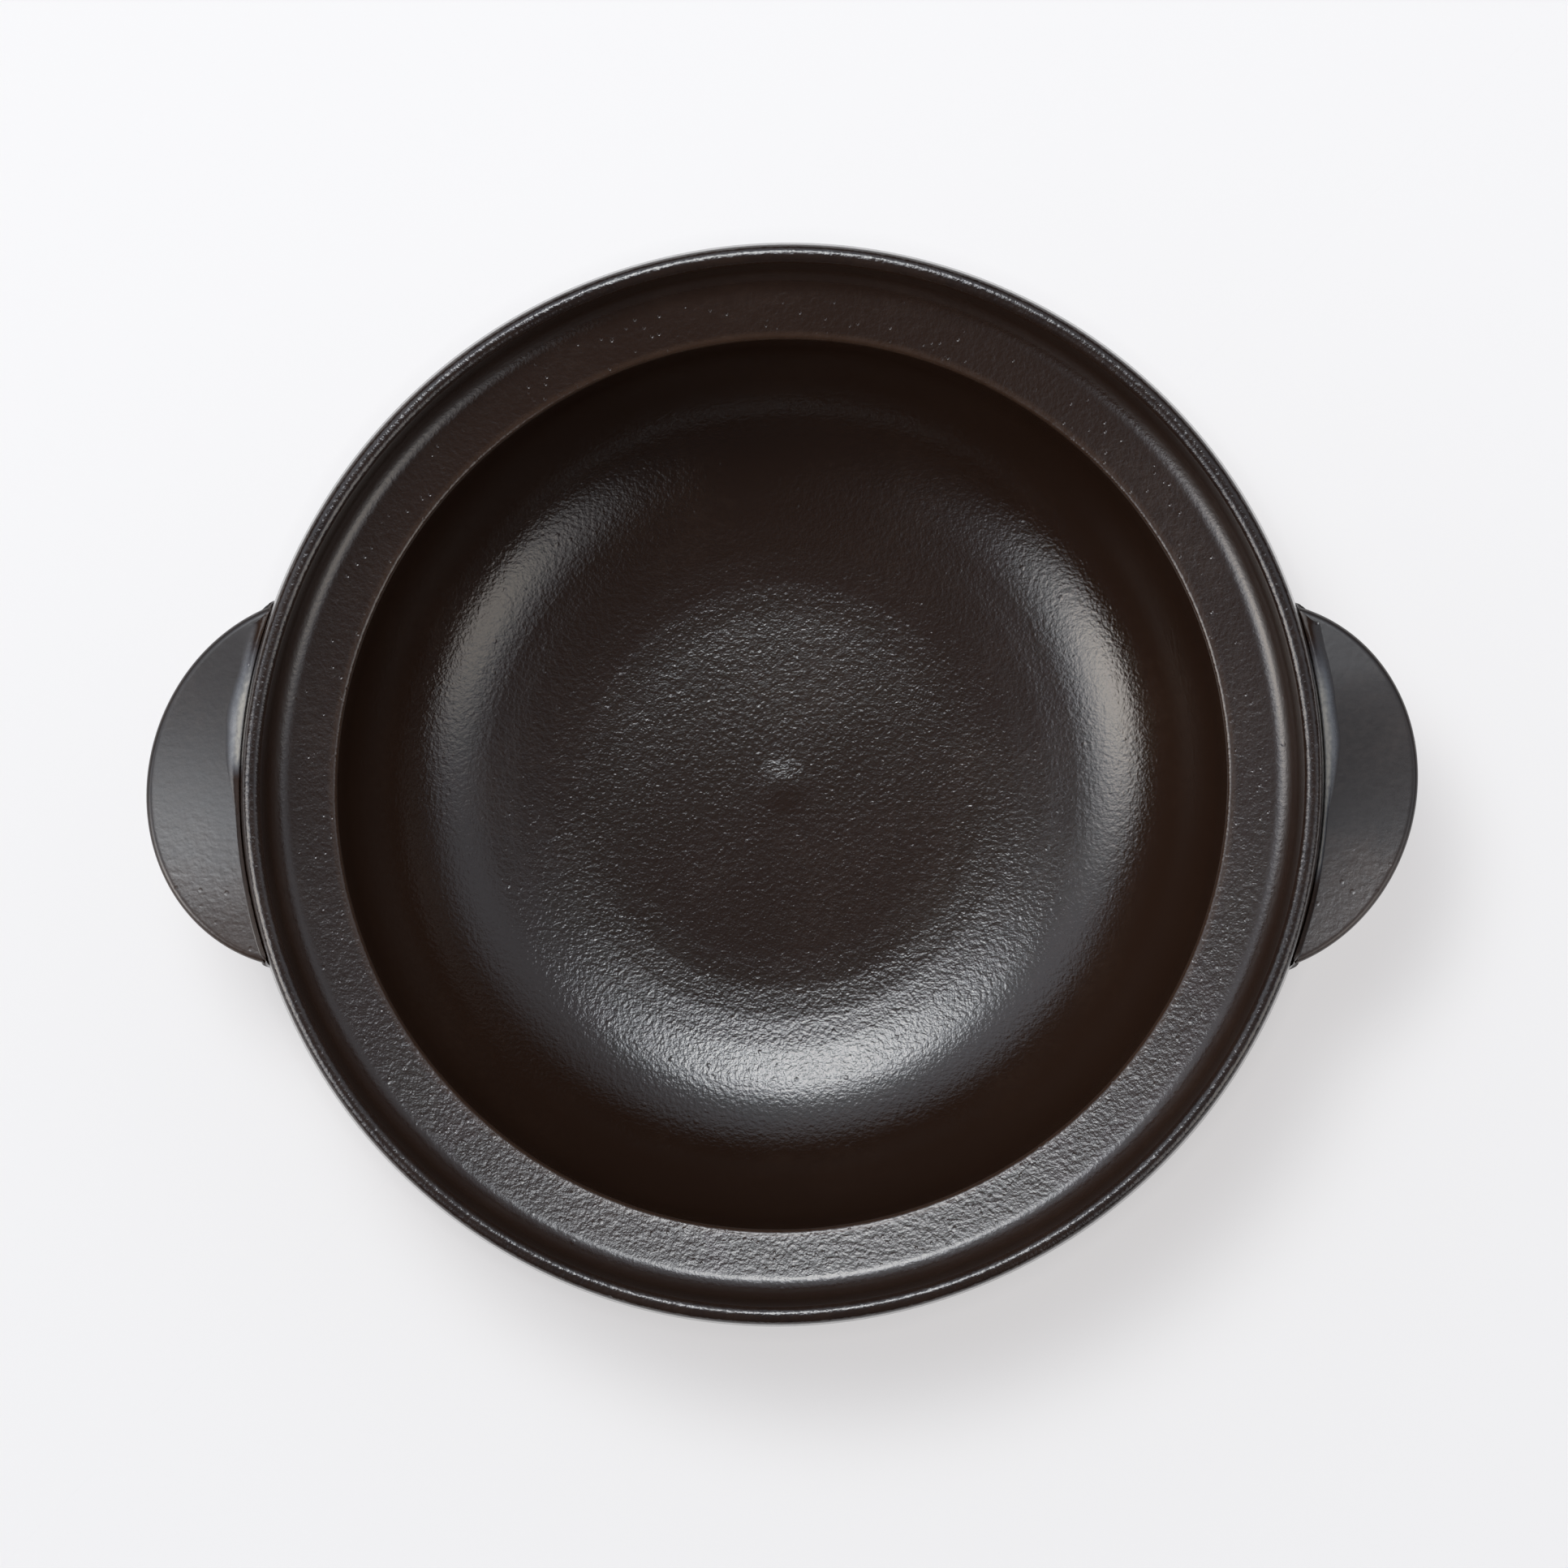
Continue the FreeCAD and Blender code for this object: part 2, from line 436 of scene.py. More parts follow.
def ear_under(place, setting):
    """The height of the ear's underside over a plan point."""
    slope = setting[0]
    return ear_root_height + rounding_drop(edge_distance(place), ear_under_round) + slope * place.y


def ear_room(azimuth):
    """How far the ear stands out from the slip in one direction; less than zero beside the ear."""
    root = collar_face((ear_top_height + ear_root_height) / 2) * out_of_round(azimuth) + slip_thickness
    return ear_edge_radius(azimuth) - root


def room_ends(least_room):
    """The two azimuths at which the ear's room falls to a given value."""
    ends = []
    for outside in (-ear_widest_azimuth, ear_widest_azimuth):
        inside = 0
        for _ in range(room_search_steps):
            middle = (inside + outside) / 2
            if ear_room(middle) > least_room:
                inside = middle
            else:
                outside = middle
        ends.append(inside)
    return ends


def ear_section(azimuth, setting):
    """The closed outline of the ear in one direction, as (radius, height), from the root over the top."""
    direction = Vector((math.cos(azimuth), math.sin(azimuth)))
    edge = ear_edge_radius(azimuth)
    room = max(ear_room(azimuth), 0)
    radii = [edge - room * (1 - i / ear_top_steps) ** ear_top_crowding for i in range(ear_top_steps + 1)]
    top = [(radius, ear_top(direction * radius, setting)) for radius in radii]
    under = [(radius, ear_under(direction * radius, setting)) for radius in reversed(radii)]
    section = list(top)
    for i in range(1, ear_side_steps):
        share = i / ear_side_steps
        section.append((edge, top[-1][1] + (under[0][1] - top[-1][1]) * share))
    section += under
    for i in range(1, ear_side_steps):
        share = i / ear_side_steps
        height = under[-1][1] + (top[0][1] - under[-1][1]) * share
        root = collar_face(height) * out_of_round(azimuth) + slip_thickness
        section.append((min(root, edge), height))
    return section


def loft(sections, azimuths, start_azimuth):
    """Points and faces through closed sections at successive azimuths; the end sections have no area."""
    points = []
    faces = []
    count = len(sections[0])
    for section, azimuth in zip(sections, azimuths):
        angle = azimuth + start_azimuth
        points += [(radius * math.cos(angle), radius * math.sin(angle), height)
                   for radius, height in section]
    for i in range(len(sections) - 1):
        for j in range(count):
            k = (j + 1) % count
            faces.append((i * count + j, i * count + k, (i + 1) * count + k, (i + 1) * count + j))
    return points, faces


def crowded_azimuths(start, end, steps):
    """Azimuths that crowd together towards both ends."""
    middle = (start + end) / 2
    half = (end - start) / 2
    return [middle - half * math.cos(math.pi * i / steps) for i in range(steps + 1)]


def make_ear(name, node, start_azimuth, setting, material):
    """One ear handle, lofted from side to side through its upright sections."""
    azimuths = crowded_azimuths(*room_ends(0), ear_sections)
    sections = [ear_section(azimuth, setting) for azimuth in azimuths]
    points, faces = loft(sections, azimuths, start_azimuth)
    mesh_piece(name, points, faces, material, node, ear_sharp_angle)


# Slip seams

def seam_grit(angle, height):
    """The small roughness of the slip at one place."""
    place = Vector((collar_radius * math.cos(angle), collar_radius * math.sin(angle), height))
    return seam_grit_height * noise.noise(place / seam_grit_length)


def seam_section(azimuth, start_azimuth, setting):
    """The closed outline of the slip in one direction, as (radius, height), from its top edge downwards."""
    angle = azimuth + start_azimuth
    direction = Vector((math.cos(azimuth), math.sin(azimuth)))
    room = ear_room(azimuth)
    beside = smooth_step(-room, -seam_wrap, 0)
    fade = smooth_step(room, -seam_fade, 0)
    lump_place = Vector((math.cos(angle), math.sin(angle), 0)) * (collar_radius / seam_lump_length)
    lump = 1 + seam_lump_share * noise.noise(lump_place)
    wideness = smooth_step(collar_radius * math.sin(angle), seam_narrow_y, seam_wide_y)
    wanted = (seam_narrow_width + (seam_wide_width - seam_narrow_width) * wideness) * lump
    carried = slip_thickness + max(room, 0) * seam_carried_share + beside * seam_spread
    top_width = min(wanted, carried)
    under_width = min(seam_under_width * lump, carried)
    hidden = slip_thickness * seam_hidden_share * (1 - beside) + beside * min(top_width, under_width)
    grit_share = fade * (1 + seam_end_grit_share * beside)

    def wall(height):
        """The radius of the collar's face under the slip."""
        return collar_face(height) * out_of_round(azimuth)

    def outer(thickness, height):
        """A point on the slip's outer face, which sinks into the collar where the seam fades out."""
        faded = (thickness + seam_burial) * fade - seam_burial
        return (wall(height) + faded + seam_grit(angle, height) * grit_share, height)

    top_foot = ear_top(direction * (wall(ear_top_height) + top_width), setting) - seam_sink
    under_foot = ear_under(direction * (wall(ear_root_height) + under_width), setting) + seam_sink
    quarter = math.pi / 2
    section = []
    for i in range(seam_cove_steps + 1):
        turn = quarter * i / seam_cove_steps
        thickness = seam_feather + (top_width - seam_feather) * (1 - math.cos(turn))
        section.append(outer(thickness, top_foot + seam_top_height * lump * (1 - math.sin(turn))))
    for i in range(1, seam_back_steps):
        section.append(outer(hidden, top_foot + (under_foot - top_foot) * i / seam_back_steps))
    for i in range(seam_cove_steps + 1):
        turn = quarter * i / seam_cove_steps
        thickness = seam_feather + (under_width - seam_feather) * (1 - math.sin(turn))
        section.append(outer(thickness, under_foot - seam_under_height * lump * (1 - math.cos(turn))))
    bottom = section[-1][1]
    top = section[0][1]
    for i in range(1, seam_back_steps):
        height = bottom + (top - bottom) * i / seam_back_steps
        section.append((wall(height) - seam_burial, height))
    return section


def make_slip_seam(name, node, start_azimuth, setting, material):
    """The slip round an ear's root, marked with the share of the way across its top."""
    azimuths = crowded_azimuths(*room_ends(-seam_fade), seam_sections)
    sections = [seam_section(azimuth, start_azimuth, setting) for azimuth in azimuths]
    points, faces = loft(sections, azimuths, start_azimuth)
    across_top = [i / seam_cove_steps for i in range(seam_cove_steps + 1)]
    marks = across_top + [1] * (len(sections[0]) - len(across_top))
    mesh_piece(name, points, faces, material, node, ear_sharp_angle, marks * len(sections))


# Shader helpers

def add(tree, kind, inputs=None, **settings):
    """A node with its settings and inputs: each input is a plain value or another node's output."""
    made = tree.nodes.new(kind)
    for name, value in settings.items():
        setattr(made, name, value)
    for name, value in (inputs or {}).items():
        if isinstance(value, bpy.types.NodeSocket):
            tree.links.new(value, made.inputs[name])
        else:
            made.inputs[name].default_value = value
    return made


def calc(tree, operation, first, second=0.0):
    """One sum on two values, each a number or another node's output."""
    return add(tree, "ShaderNodeMath", {0: first, 1: second}, operation=operation).outputs[0]


def weigh(tree, *shares):
    """The sum of masks, each times its own weight."""
    total = 0.0
    for mask, weight in shares:
        total = calc(tree, "ADD", total, calc(tree, "MULTIPLY", mask, weight))
    return total


def rising(tree, value, start, end):
    """A mask that rises smoothly from 0 at start to 1 at end."""
    made = add(tree, "ShaderNodeMapRange", {"Value": value, "From Min": start, "From Max": end},
               interpolation_type="SMOOTHSTEP")
    return made.outputs["Result"]


def band(tree, value, start, end, softness):
    """A mask that is 1 between start and end and fades out over a soft edge beyond them."""
    into = rising(tree, value, start - softness, start)
    out_of = rising(tree, value, end + softness, end)
    return calc(tree, "MULTIPLY", into, out_of)


def mix_colour(tree, factor, first, second):
    """The first colour where the factor is 0, the second where it is 1."""
    return add(tree, "ShaderNodeMix", {0: factor, 6: first, 7: second}, data_type="RGBA").outputs[2]


def spread_out(tree, place, size):
    """Coordinates in which one size is one unit."""
    made = add(tree, "ShaderNodeVectorMath", {0: place, "Scale": calc(tree, "DIVIDE", 1.0, size)},
               operation="SCALE")
    return made.outputs[0]


def grain(tree, place, size, detail=2.0):
    """Noise from -0.5 to 0.5 whose lumps are about one size across."""
    made = add(tree, "ShaderNodeTexNoise",
               {"Vector": spread_out(tree, place, size), "Scale": 1.0, "Detail": detail})
    return calc(tree, "SUBTRACT", made.outputs["Fac"], 0.5)


def new_group(name, inputs, outputs):
    """An empty shader group with named sockets, and the nodes that stand for its two ends."""
    group = bpy.data.node_groups.new(name, "ShaderNodeTree")
    for label, kind in inputs.items():
        group.interface.new_socket(label, in_out="INPUT", socket_type=kind)
    for label, kind in outputs.items():
        group.interface.new_socket(label, in_out="OUTPUT", socket_type=kind)
    return group, group.nodes.new("NodeGroupInput").outputs, group.nodes.new("NodeGroupOutput").inputs


# Glaze: its colours where it lies thick and thin, the painted highlight and its bluish painted fringe on
# the slip's ridge, and the bare clay at the foot
thick_glaze = (0.0225, 0.0106, 0.0062, 1)
black_glaze = (0.0165, 0.0098, 0.0078, 1)
thin_glaze = (0.055, 0.029, 0.017, 1)
# Painted highlight colours: a pale cream line on the slip's ridge, then its bluish painted fringe
painted_ridge_highlight = (0.4, 0.375, 0.335, 1)
painted_highlight_fringe = (0.22, 0.26, 0.32, 1)
bare_clay = (0.33, 0.25, 0.18, 1)
glaze_ior = 1.65

# How rough each glaze fires
bowl_roughness = 0.15
ledge_roughness = 0.2
gallery_roughness = 0.34
ear_roughness = 0.32
slip_roughness = 0.15
clay_roughness = 0.8

# Orange peel and lumps: sizes across, and heights by place
fine_peel_size_share = 0.42
fine_peel_height_share = 0.35
peel_size = 1.15 * mm
floor_peel = 0.1 * mm
peel_full_radius = 50.0 * mm
peel_end_radius = 92.0 * mm
wall_peel = 0.02 * mm
ledge_peel = 0.025 * mm
lip_peel = 0.05 * mm
outside_peel = 0.02 * mm
ledge_lump_size = 2.6 * mm
ledge_lump_height = 0.075 * mm
ear_peel_size = 1.6 * mm
ear_back_peel = 0.022 * mm
ear_front_peel = 0.05 * mm
slip_peel_size = 1.2 * mm
slip_peel = 0.022 * mm

# Pinholes and pits: spacing, share of places that have one, and depth
pinhole_edge_shares = (0.24, 0.08)
bowl_pinholes = (3.2 * mm, 0.22, 0.04 * mm)
ledge_pits = (2.0 * mm, 0.4, 0.06 * mm)
ear_pinholes = (3.0 * mm, 0.3, 0.06 * mm)
slip_pinholes = (2.2 * mm, 0.3, 0.08 * mm)

# Clouding of the colour
cloud_detail = 4.0
cloud_strength = 0.5
cloud_gloss_loss = 0.1
speck_size_share = 0.08
speck_strength_share = 0.7
bowl_cloud_size = 28.0 * mm
ear_cloud_size = 22.0 * mm
slip_cloud_size = 9.0 * mm

# How thin the glaze lies: 0 shows its deepest shade, 1 its thin one
mouth_thinness = 0.5
lip_thinness = 0.12
ear_front_thinness = 0.5
slip_thinness = 0.2

# Where the glaze changes: bands along the pot's outline, and the ears' change towards the front
mouth_wear_width = 1.0 * mm
edge_softness = 1.4 * mm
ledge_pitted_share = 0.55
ledge_softness = 3.0 * mm
glaze_line_above_foot = 6.5 * mm
glaze_line_wander = 5.0 * mm
glaze_line_lump_size = 9.0 * mm
front_start_y = -4.0 * mm
front_full_y = -26.0 * mm
front_edge_wander = 22.0 * mm
front_edge_lump_size = 14.0 * mm


# Glaze effects that several glazes share

def glaze_skin_group():
    """The orange peel of a fired glaze and the pinholes in it, as a height in metres."""
    tree, given, result = new_group(
        "glaze_skin",
        {"Place": "NodeSocketVector", "Peel Size": "NodeSocketFloat", "Peel Height": "NodeSocketFloat",
         "Pinhole Spacing": "NodeSocketFloat", "Pinhole Share": "NodeSocketFloat",
         "Pinhole Depth": "NodeSocketFloat"},
        {"Height": "NodeSocketFloat"})
    fine_size = calc(tree, "MULTIPLY", given["Peel Size"], fine_peel_size_share)
    coarse = grain(tree, given["Place"], given["Peel Size"])
    fine = grain(tree, given["Place"], fine_size)
    uneven = weigh(tree, (coarse, 1.0), (fine, fine_peel_height_share))
    peel = calc(tree, "MULTIPLY", uneven, given["Peel Height"])
    cells = add(tree, "ShaderNodeTexVoronoi",
                {"Vector": spread_out(tree, given["Place"], given["Pinhole Spacing"]), "Scale": 1.0})
    chance = add(tree, "ShaderNodeSeparateColor", {"Color": cells.outputs["Color"]}).outputs["Red"]
    chosen = calc(tree, "LESS_THAN", chance, given["Pinhole Share"])
    dent = rising(tree, cells.outputs["Distance"], *pinhole_edge_shares)
    hole = calc(tree, "MULTIPLY", dent, chosen)
    sunk = calc(tree, "MULTIPLY", hole, given["Pinhole Depth"])
    tree.links.new(calc(tree, "SUBTRACT", peel, sunk), result["Height"])
    return tree


def glaze_tone_group():
    """The glaze's colour: dark where it lies thick, browner where it runs thin, and clouded all over."""
    tree, given, result = new_group(
        "glaze_tone",
        {"Place": "NodeSocketVector", "Thinness": "NodeSocketFloat", "Cloud Size": "NodeSocketFloat",
         "Deepest": "NodeSocketColor"},
        {"Colour": "NodeSocketColor", "Gloss Loss": "NodeSocketFloat"})
    speck_size = calc(tree, "MULTIPLY", given["Cloud Size"], speck_size_share)
    cloud = grain(tree, given["Place"], given["Cloud Size"], cloud_detail)
    speck = grain(tree, given["Place"], speck_size)
    uneven = weigh(tree, (cloud, 1.0), (speck, speck_strength_share))
    thin = calc(tree, "ADD", given["Thinness"], calc(tree, "MULTIPLY", uneven, cloud_strength))
    thin = add(tree, "ShaderNodeClamp", {"Value": thin}).outputs[0]
    tree.links.new(mix_colour(tree, thin, given["Deepest"], thin_glaze), result["Colour"])
    tree.links.new(calc(tree, "MULTIPLY", uneven, cloud_gloss_loss), result["Gloss Loss"])
    return tree


glaze_skin = glaze_skin_group()
glaze_tone = glaze_tone_group()


def skin(tree, place, size, height, pinholes):
    """The glaze's relief, with pinholes given as spacing, share and depth."""
    spacing, share, depth = pinholes
    made = add(tree, "ShaderNodeGroup",
               {"Place": place, "Peel Size": size, "Peel Height": height, "Pinhole Spacing": spacing,
                "Pinhole Share": share, "Pinhole Depth": depth}, node_tree=glaze_skin)
    return made.outputs["Height"]


def tone(tree, place, thinness, cloud_size, deepest):
    """The glaze's colour, whose deepest shade is given, and its loss of gloss."""
    return add(tree, "ShaderNodeGroup",
               {"Place": place, "Thinness": thinness, "Cloud Size": cloud_size, "Deepest": deepest},
               node_tree=glaze_tone).outputs


def new_glaze(name):
    """An empty material with its shader, and the object's own coordinates."""
    material = bpy.data.materials.new(name)
    material.use_nodes = True
    tree = material.node_tree
    shader = tree.nodes["Principled BSDF"]
    shader.inputs["IOR"].default_value = glaze_ior
    place = add(tree, "ShaderNodeTexCoord").outputs["Object"]
    return material, tree, shader, place


def finish_glaze(tree, shader, height, colour, roughness):
    """Feeds a relief in metres, a colour and a roughness to the shader."""
    bump = add(tree, "ShaderNodeBump", {"Strength": 1.0, "Distance": 1.0, "Height": height})
    tree.links.new(bump.outputs["Normal"], shader.inputs["Normal"])
    tree.links.new(colour, shader.inputs["Base Color"])
    tree.links.new(roughness, shader.inputs["Roughness"])


# Glazes

def pot_glaze():
    """The pot's glaze: peel on the floor, smooth walls, pits on the ledge, worn edges and a bare foot."""
    material, tree, shader, place = new_glaze("pot_glaze")
    along = add(tree, "ShaderNodeAttribute", attribute_name="glaze_mark").outputs["Fac"]
    mouth = along_at(mouth_radius, ledge_inner_height)
    ledge_end = along_at(gallery_foot_radius, ledge_outer_height)
    lip_in = along_at(lip_radius - lip_width, pot_height)
    lip_out = along_at(lip_radius, pot_height)
    glaze_end = along_at(foot_radius, base_height) - glaze_line_above_foot
    peel_end = along_at(peel_end_radius, floor_height)
    peel_full = along_at(peel_full_radius, floor_height)

    on_floor = rising(tree, along, peel_end, peel_full)
    at_mouth = band(tree, along, mouth - mouth_wear_width, mouth + mouth_wear_width, edge_softness)
    on_ledge = band(tree, along, mouth, ledge_end, ledge_softness)
    pitted = band(tree, along, mouth, mouth + ledge_width * ledge_pitted_share, ledge_softness)
    on_gallery = band(tree, along, ledge_end, lip_in - lip_round, edge_softness)
    on_lip = band(tree, along, lip_in, lip_out, edge_softness)
    outside = rising(tree, along, lip_out, lip_out + collar_bulge_drop)
    wander = calc(tree, "MULTIPLY", grain(tree, place, glaze_line_lump_size), glaze_line_wander)
    on_foot = rising(tree, calc(tree, "ADD", along, wander), glaze_end - edge_softness, glaze_end)

    peel = weigh(tree, (on_floor, floor_peel), (pitted, ledge_peel), (on_lip, lip_peel),
                 (outside, outside_peel))
    fine = skin(tree, place, peel_size, calc(tree, "ADD", peel, wall_peel), bowl_pinholes)
    pit_spacing, pit_share, pit_depth = ledge_pits
    lumps = skin(tree, place, ledge_lump_size, calc(tree, "MULTIPLY", pitted, ledge_lump_height),
                 (pit_spacing, calc(tree, "MULTIPLY", pitted, pit_share), pit_depth))
    height = calc(tree, "ADD", fine, lumps)

    worn = weigh(tree, (at_mouth, mouth_thinness), (on_lip, lip_thinness))
    deepest = mix_colour(tree, on_lip, thick_glaze, black_glaze)
    clouded = tone(tree, place, worn, bowl_cloud_size, deepest)
    colour = mix_colour(tree, on_foot, clouded["Colour"], bare_clay)
    rough = weigh(tree, (on_ledge, ledge_roughness - bowl_roughness),
                  (on_gallery, gallery_roughness - bowl_roughness),
                  (on_foot, clay_roughness - bowl_roughness))
    rough = calc(tree, "ADD", calc(tree, "ADD", rough, clouded["Gloss Loss"]), bowl_roughness)
    finish_glaze(tree, shader, height, colour, rough)
    return material


def ear_glaze():
    """The ears' glaze: smooth at the back, rougher and browner towards the front."""
    material, tree, shader, place = new_glaze("ear_glaze")
    y = add(tree, "ShaderNodeSeparateXYZ", {"Vector": place}).outputs["Y"]
    wander = calc(tree, "MULTIPLY", grain(tree, place, front_edge_lump_size), front_edge_wander)
    to_front = rising(tree, calc(tree, "ADD", y, wander), front_start_y, front_full_y)
    peel = calc(tree, "ADD", calc(tree, "MULTIPLY", to_front, ear_front_peel), ear_back_peel)
    spacing, share, depth = ear_pinholes
    front_pinholes = (spacing, calc(tree, "MULTIPLY", to_front, share), depth)
    relief = skin(tree, place, ear_peel_size, peel, front_pinholes)
    thinness = calc(tree, "MULTIPLY", to_front, ear_front_thinness)
    clouded = tone(tree, place, thinness, ear_cloud_size, black_glaze)
    rough = calc(tree, "ADD", clouded["Gloss Loss"], ear_roughness)
    finish_glaze(tree, shader, relief, clouded["Colour"], rough)
    return material


def slip_glaze_and_highlight(name, highlight_end_y):
    """The glaze over one ear's slip, with a painted highlight along the ridge, and like the ear's own where
    the two meet.
    """
    material, tree, shader, place = new_glaze(name)
    across = add(tree, "ShaderNodeAttribute", attribute_name="glaze_mark").outputs["Fac"]
    y = add(tree, "ShaderNodeSeparateXYZ", {"Vector": place}).outputs["Y"]
    # Painted highlight: a pale band across the slip's cove, along the back part of each ear
    on_highlight_band = calc(tree, "MULTIPLY", rising(tree, across, *highlight_rise_shares),
                    rising(tree, across, *highlight_fall_shares))
    along_highlight = calc(tree, "MULTIPLY", rising(tree, y, highlight_start_y, highlight_full_y),
                       rising(tree, y, highlight_end_y - highlight_fade, highlight_end_y))
    uneven = calc(tree, "ADD", grain(tree, place, slip_peel_size), 1.0)
    painted_light_level = calc(tree, "MULTIPLY", calc(tree, "MULTIPLY", on_highlight_band, along_highlight), uneven)
    painted_light_level = add(tree, "ShaderNodeClamp", {"Value": painted_light_level}).outputs[0]
    by_ear = rising(tree, across, *ear_glaze_shares)

    relief = skin(tree, place, slip_peel_size, slip_peel, slip_pinholes)
    thinness = calc(tree, "MULTIPLY", calc(tree, "SUBTRACT", 1.0, by_ear), slip_thinness)
    deepest = mix_colour(tree, by_ear, thick_glaze, black_glaze)
    clouded = tone(tree, place, thinness, slip_cloud_size, deepest)
    highlight_tint = mix_colour(tree, painted_light_level, painted_highlight_fringe, painted_ridge_highlight)
    colour = mix_colour(tree, painted_light_level, clouded["Colour"], highlight_tint)
    rough = weigh(tree, (by_ear, ear_roughness - slip_roughness), (clouded["Gloss Loss"], 1.0))
    finish_glaze(tree, shader, relief, colour, calc(tree, "ADD", rough, slip_roughness))
    return material


# Studio: directions are azimuth and zenith in degrees, radiance 1 is white

neutral_light = (1.0, 0.99, 0.96, 1)
warm_light = (1.0, 0.93, 0.85, 1)
cool_light = (0.79, 0.88, 1.0, 1)
studio_dimness = 0.04
glow_ground_zeniths = (76, 56)
paper_colour = (0.3, 0.3, 0.3, 1)
paper_glow_colour = (1.0, 0.971, 0.967, 1)
paper_glow = 0.593
# Painted falloff: how much brighter the paper's glow gets towards the back
paper_glow_swing = 0.03
contact_shadow_reach = 45.0 * mm
paper_fibre_size = 1.2 * mm
paper_fibre_height = 0.01 * mm
paper_half_width = 8.0
lit_field = 200.0 * mm
white_lamp_watts_per_area = 4.0

# Camera over the pot, a hair off its axis
camera_height = 1.5
camera_x = 0.43 * mm
camera_y = 0.14 * mm
camera_sensor_width = 36
camera_field_at_rim = 377.3 * mm


def direction_to(azimuth, zenith):
    """The unit vector towards a place in the studio."""
    azimuth = math.radians(azimuth)
    zenith = math.radians(zenith)
    across = math.sin(zenith)
    return Vector((across * math.cos(azimuth), across * math.sin(azimuth), math.cos(zenith)))


def floor_paper():
    """Pale paper that takes the pot's shadow, with a glow that only the camera and reflections see; the
    glow carries a painted falloff towards the front and a painted contact shadow near the pot.
    """
    material = bpy.data.materials.new("floor_paper")
    material.use_nodes = True
    tree = material.node_tree
    tree.nodes.clear()
    path = add(tree, "ShaderNodeLightPath").outputs
    shown = calc(tree, "MAXIMUM", path["Is Camera Ray"], path["Is Glossy Ray"])
    shown = calc(tree, "MAXIMUM", shown, path["Is Transmission Ray"])
    place = add(tree, "ShaderNodeTexCoord").outputs["Object"]
    fibre = grain(tree, place, paper_fibre_size)
    bump = add(tree, "ShaderNodeBump", {"Strength": 1.0, "Distance": 1.0,
                                        "Height": calc(tree, "MULTIPLY", fibre, paper_fibre_height)})
    paper = add(tree, "ShaderNodeBsdfDiffuse", {"Color": paper_colour, "Normal": bump.outputs["Normal"]})
    y = add(tree, "ShaderNodeSeparateXYZ", {"Vector": place}).outputs["Y"]
    # Painted light on the glow: a little brighter towards the back, and darkened near the pot by ambient
    # occlusion as a painted contact shadow
    to_back = rising(tree, y, -lit_field, lit_field)
    painted_light_level = calc(tree, "ADD", calc(tree, "MULTIPLY", to_back, paper_glow_swing), paper_glow)
    painted_contact_shade = add(tree, "ShaderNodeAmbientOcclusion", {"Distance": contact_shadow_reach}).outputs["AO"]
    painted_light_level = calc(tree, "MULTIPLY", painted_light_level, painted_contact_shade)
    glow = add(tree, "ShaderNodeEmission", {"Color": paper_glow_colour,
                                            "Strength": calc(tree, "MULTIPLY", shown, painted_light_level)})
    both = add(tree, "ShaderNodeAddShader", {0: paper.outputs[0], 1: glow.outputs[0]})
    add(tree, "ShaderNodeOutputMaterial", {"Surface": both.outputs[0]})
    return material


def make_floor():
    """The sheet of paper that the pot stands on."""
    half = paper_half_width
    corners = [(-half, -half, 0), (half, -half, 0), (half, half, 0), (-half, half, 0)]
    mesh = bpy.data.meshes.new("studio_floor")
    mesh.from_pydata(corners, [], [(0, 1, 2, 3)])
    mesh.materials.append(floor_paper())
    floor = bpy.data.objects.new("studio_floor", mesh)
    bpy.context.scene.collection.objects.link(floor)
    paper_only.objects.link(floor)


def make_lamp(name, direction, distance, width, height, hot_share, colour, radiance, lit):
    """A softbox that points at the pot and lights one collection.

    It is brightest at a share of its height, and fades from there, cooler, to its edges.
    """
    data = bpy.data.lights.new(name, "AREA")
    data.shape = "RECTANGLE"
    data.size = width
    data.size_y = height
    data.energy = radiance * white_lamp_watts_per_area * width * height
    data.use_nodes = True
    tree = data.node_tree
    spot = add(tree, "ShaderNodeNewGeometry").outputs["Parametric"]
    middle = 0.5
    fade = (middle, max(hot_share, 1 - hot_share), 1)
    away = add(tree, "ShaderNodeVectorMath", {0: spot, 1: (middle, hot_share, 0)}, operation="SUBTRACT")
    away = add(tree, "ShaderNodeVectorMath", {0: away.outputs[0], 1: fade}, operation="DIVIDE")
    away = add(tree, "ShaderNodeVectorMath", {0: away.outputs[0]}, operation="LENGTH")
    brightness = rising(tree, away.outputs["Value"], 1.0, 0.0)
    emission = tree.nodes["Emission"].inputs
    tree.links.new(brightness, emission["Strength"])
    tree.links.new(mix_colour(tree, brightness, cool_light, colour), emission["Color"])
    lamp = bpy.data.objects.new(name, data)
    lamp.location = direction * distance
    lamp.rotation_mode = "QUATERNION"
    lamp.rotation_quaternion = direction.to_track_quat("Z", "Y")
    lamp.visible_camera = False
    lamp.light_linking.receiver_collection = lit
    bpy.context.scene.collection.objects.link(lamp)


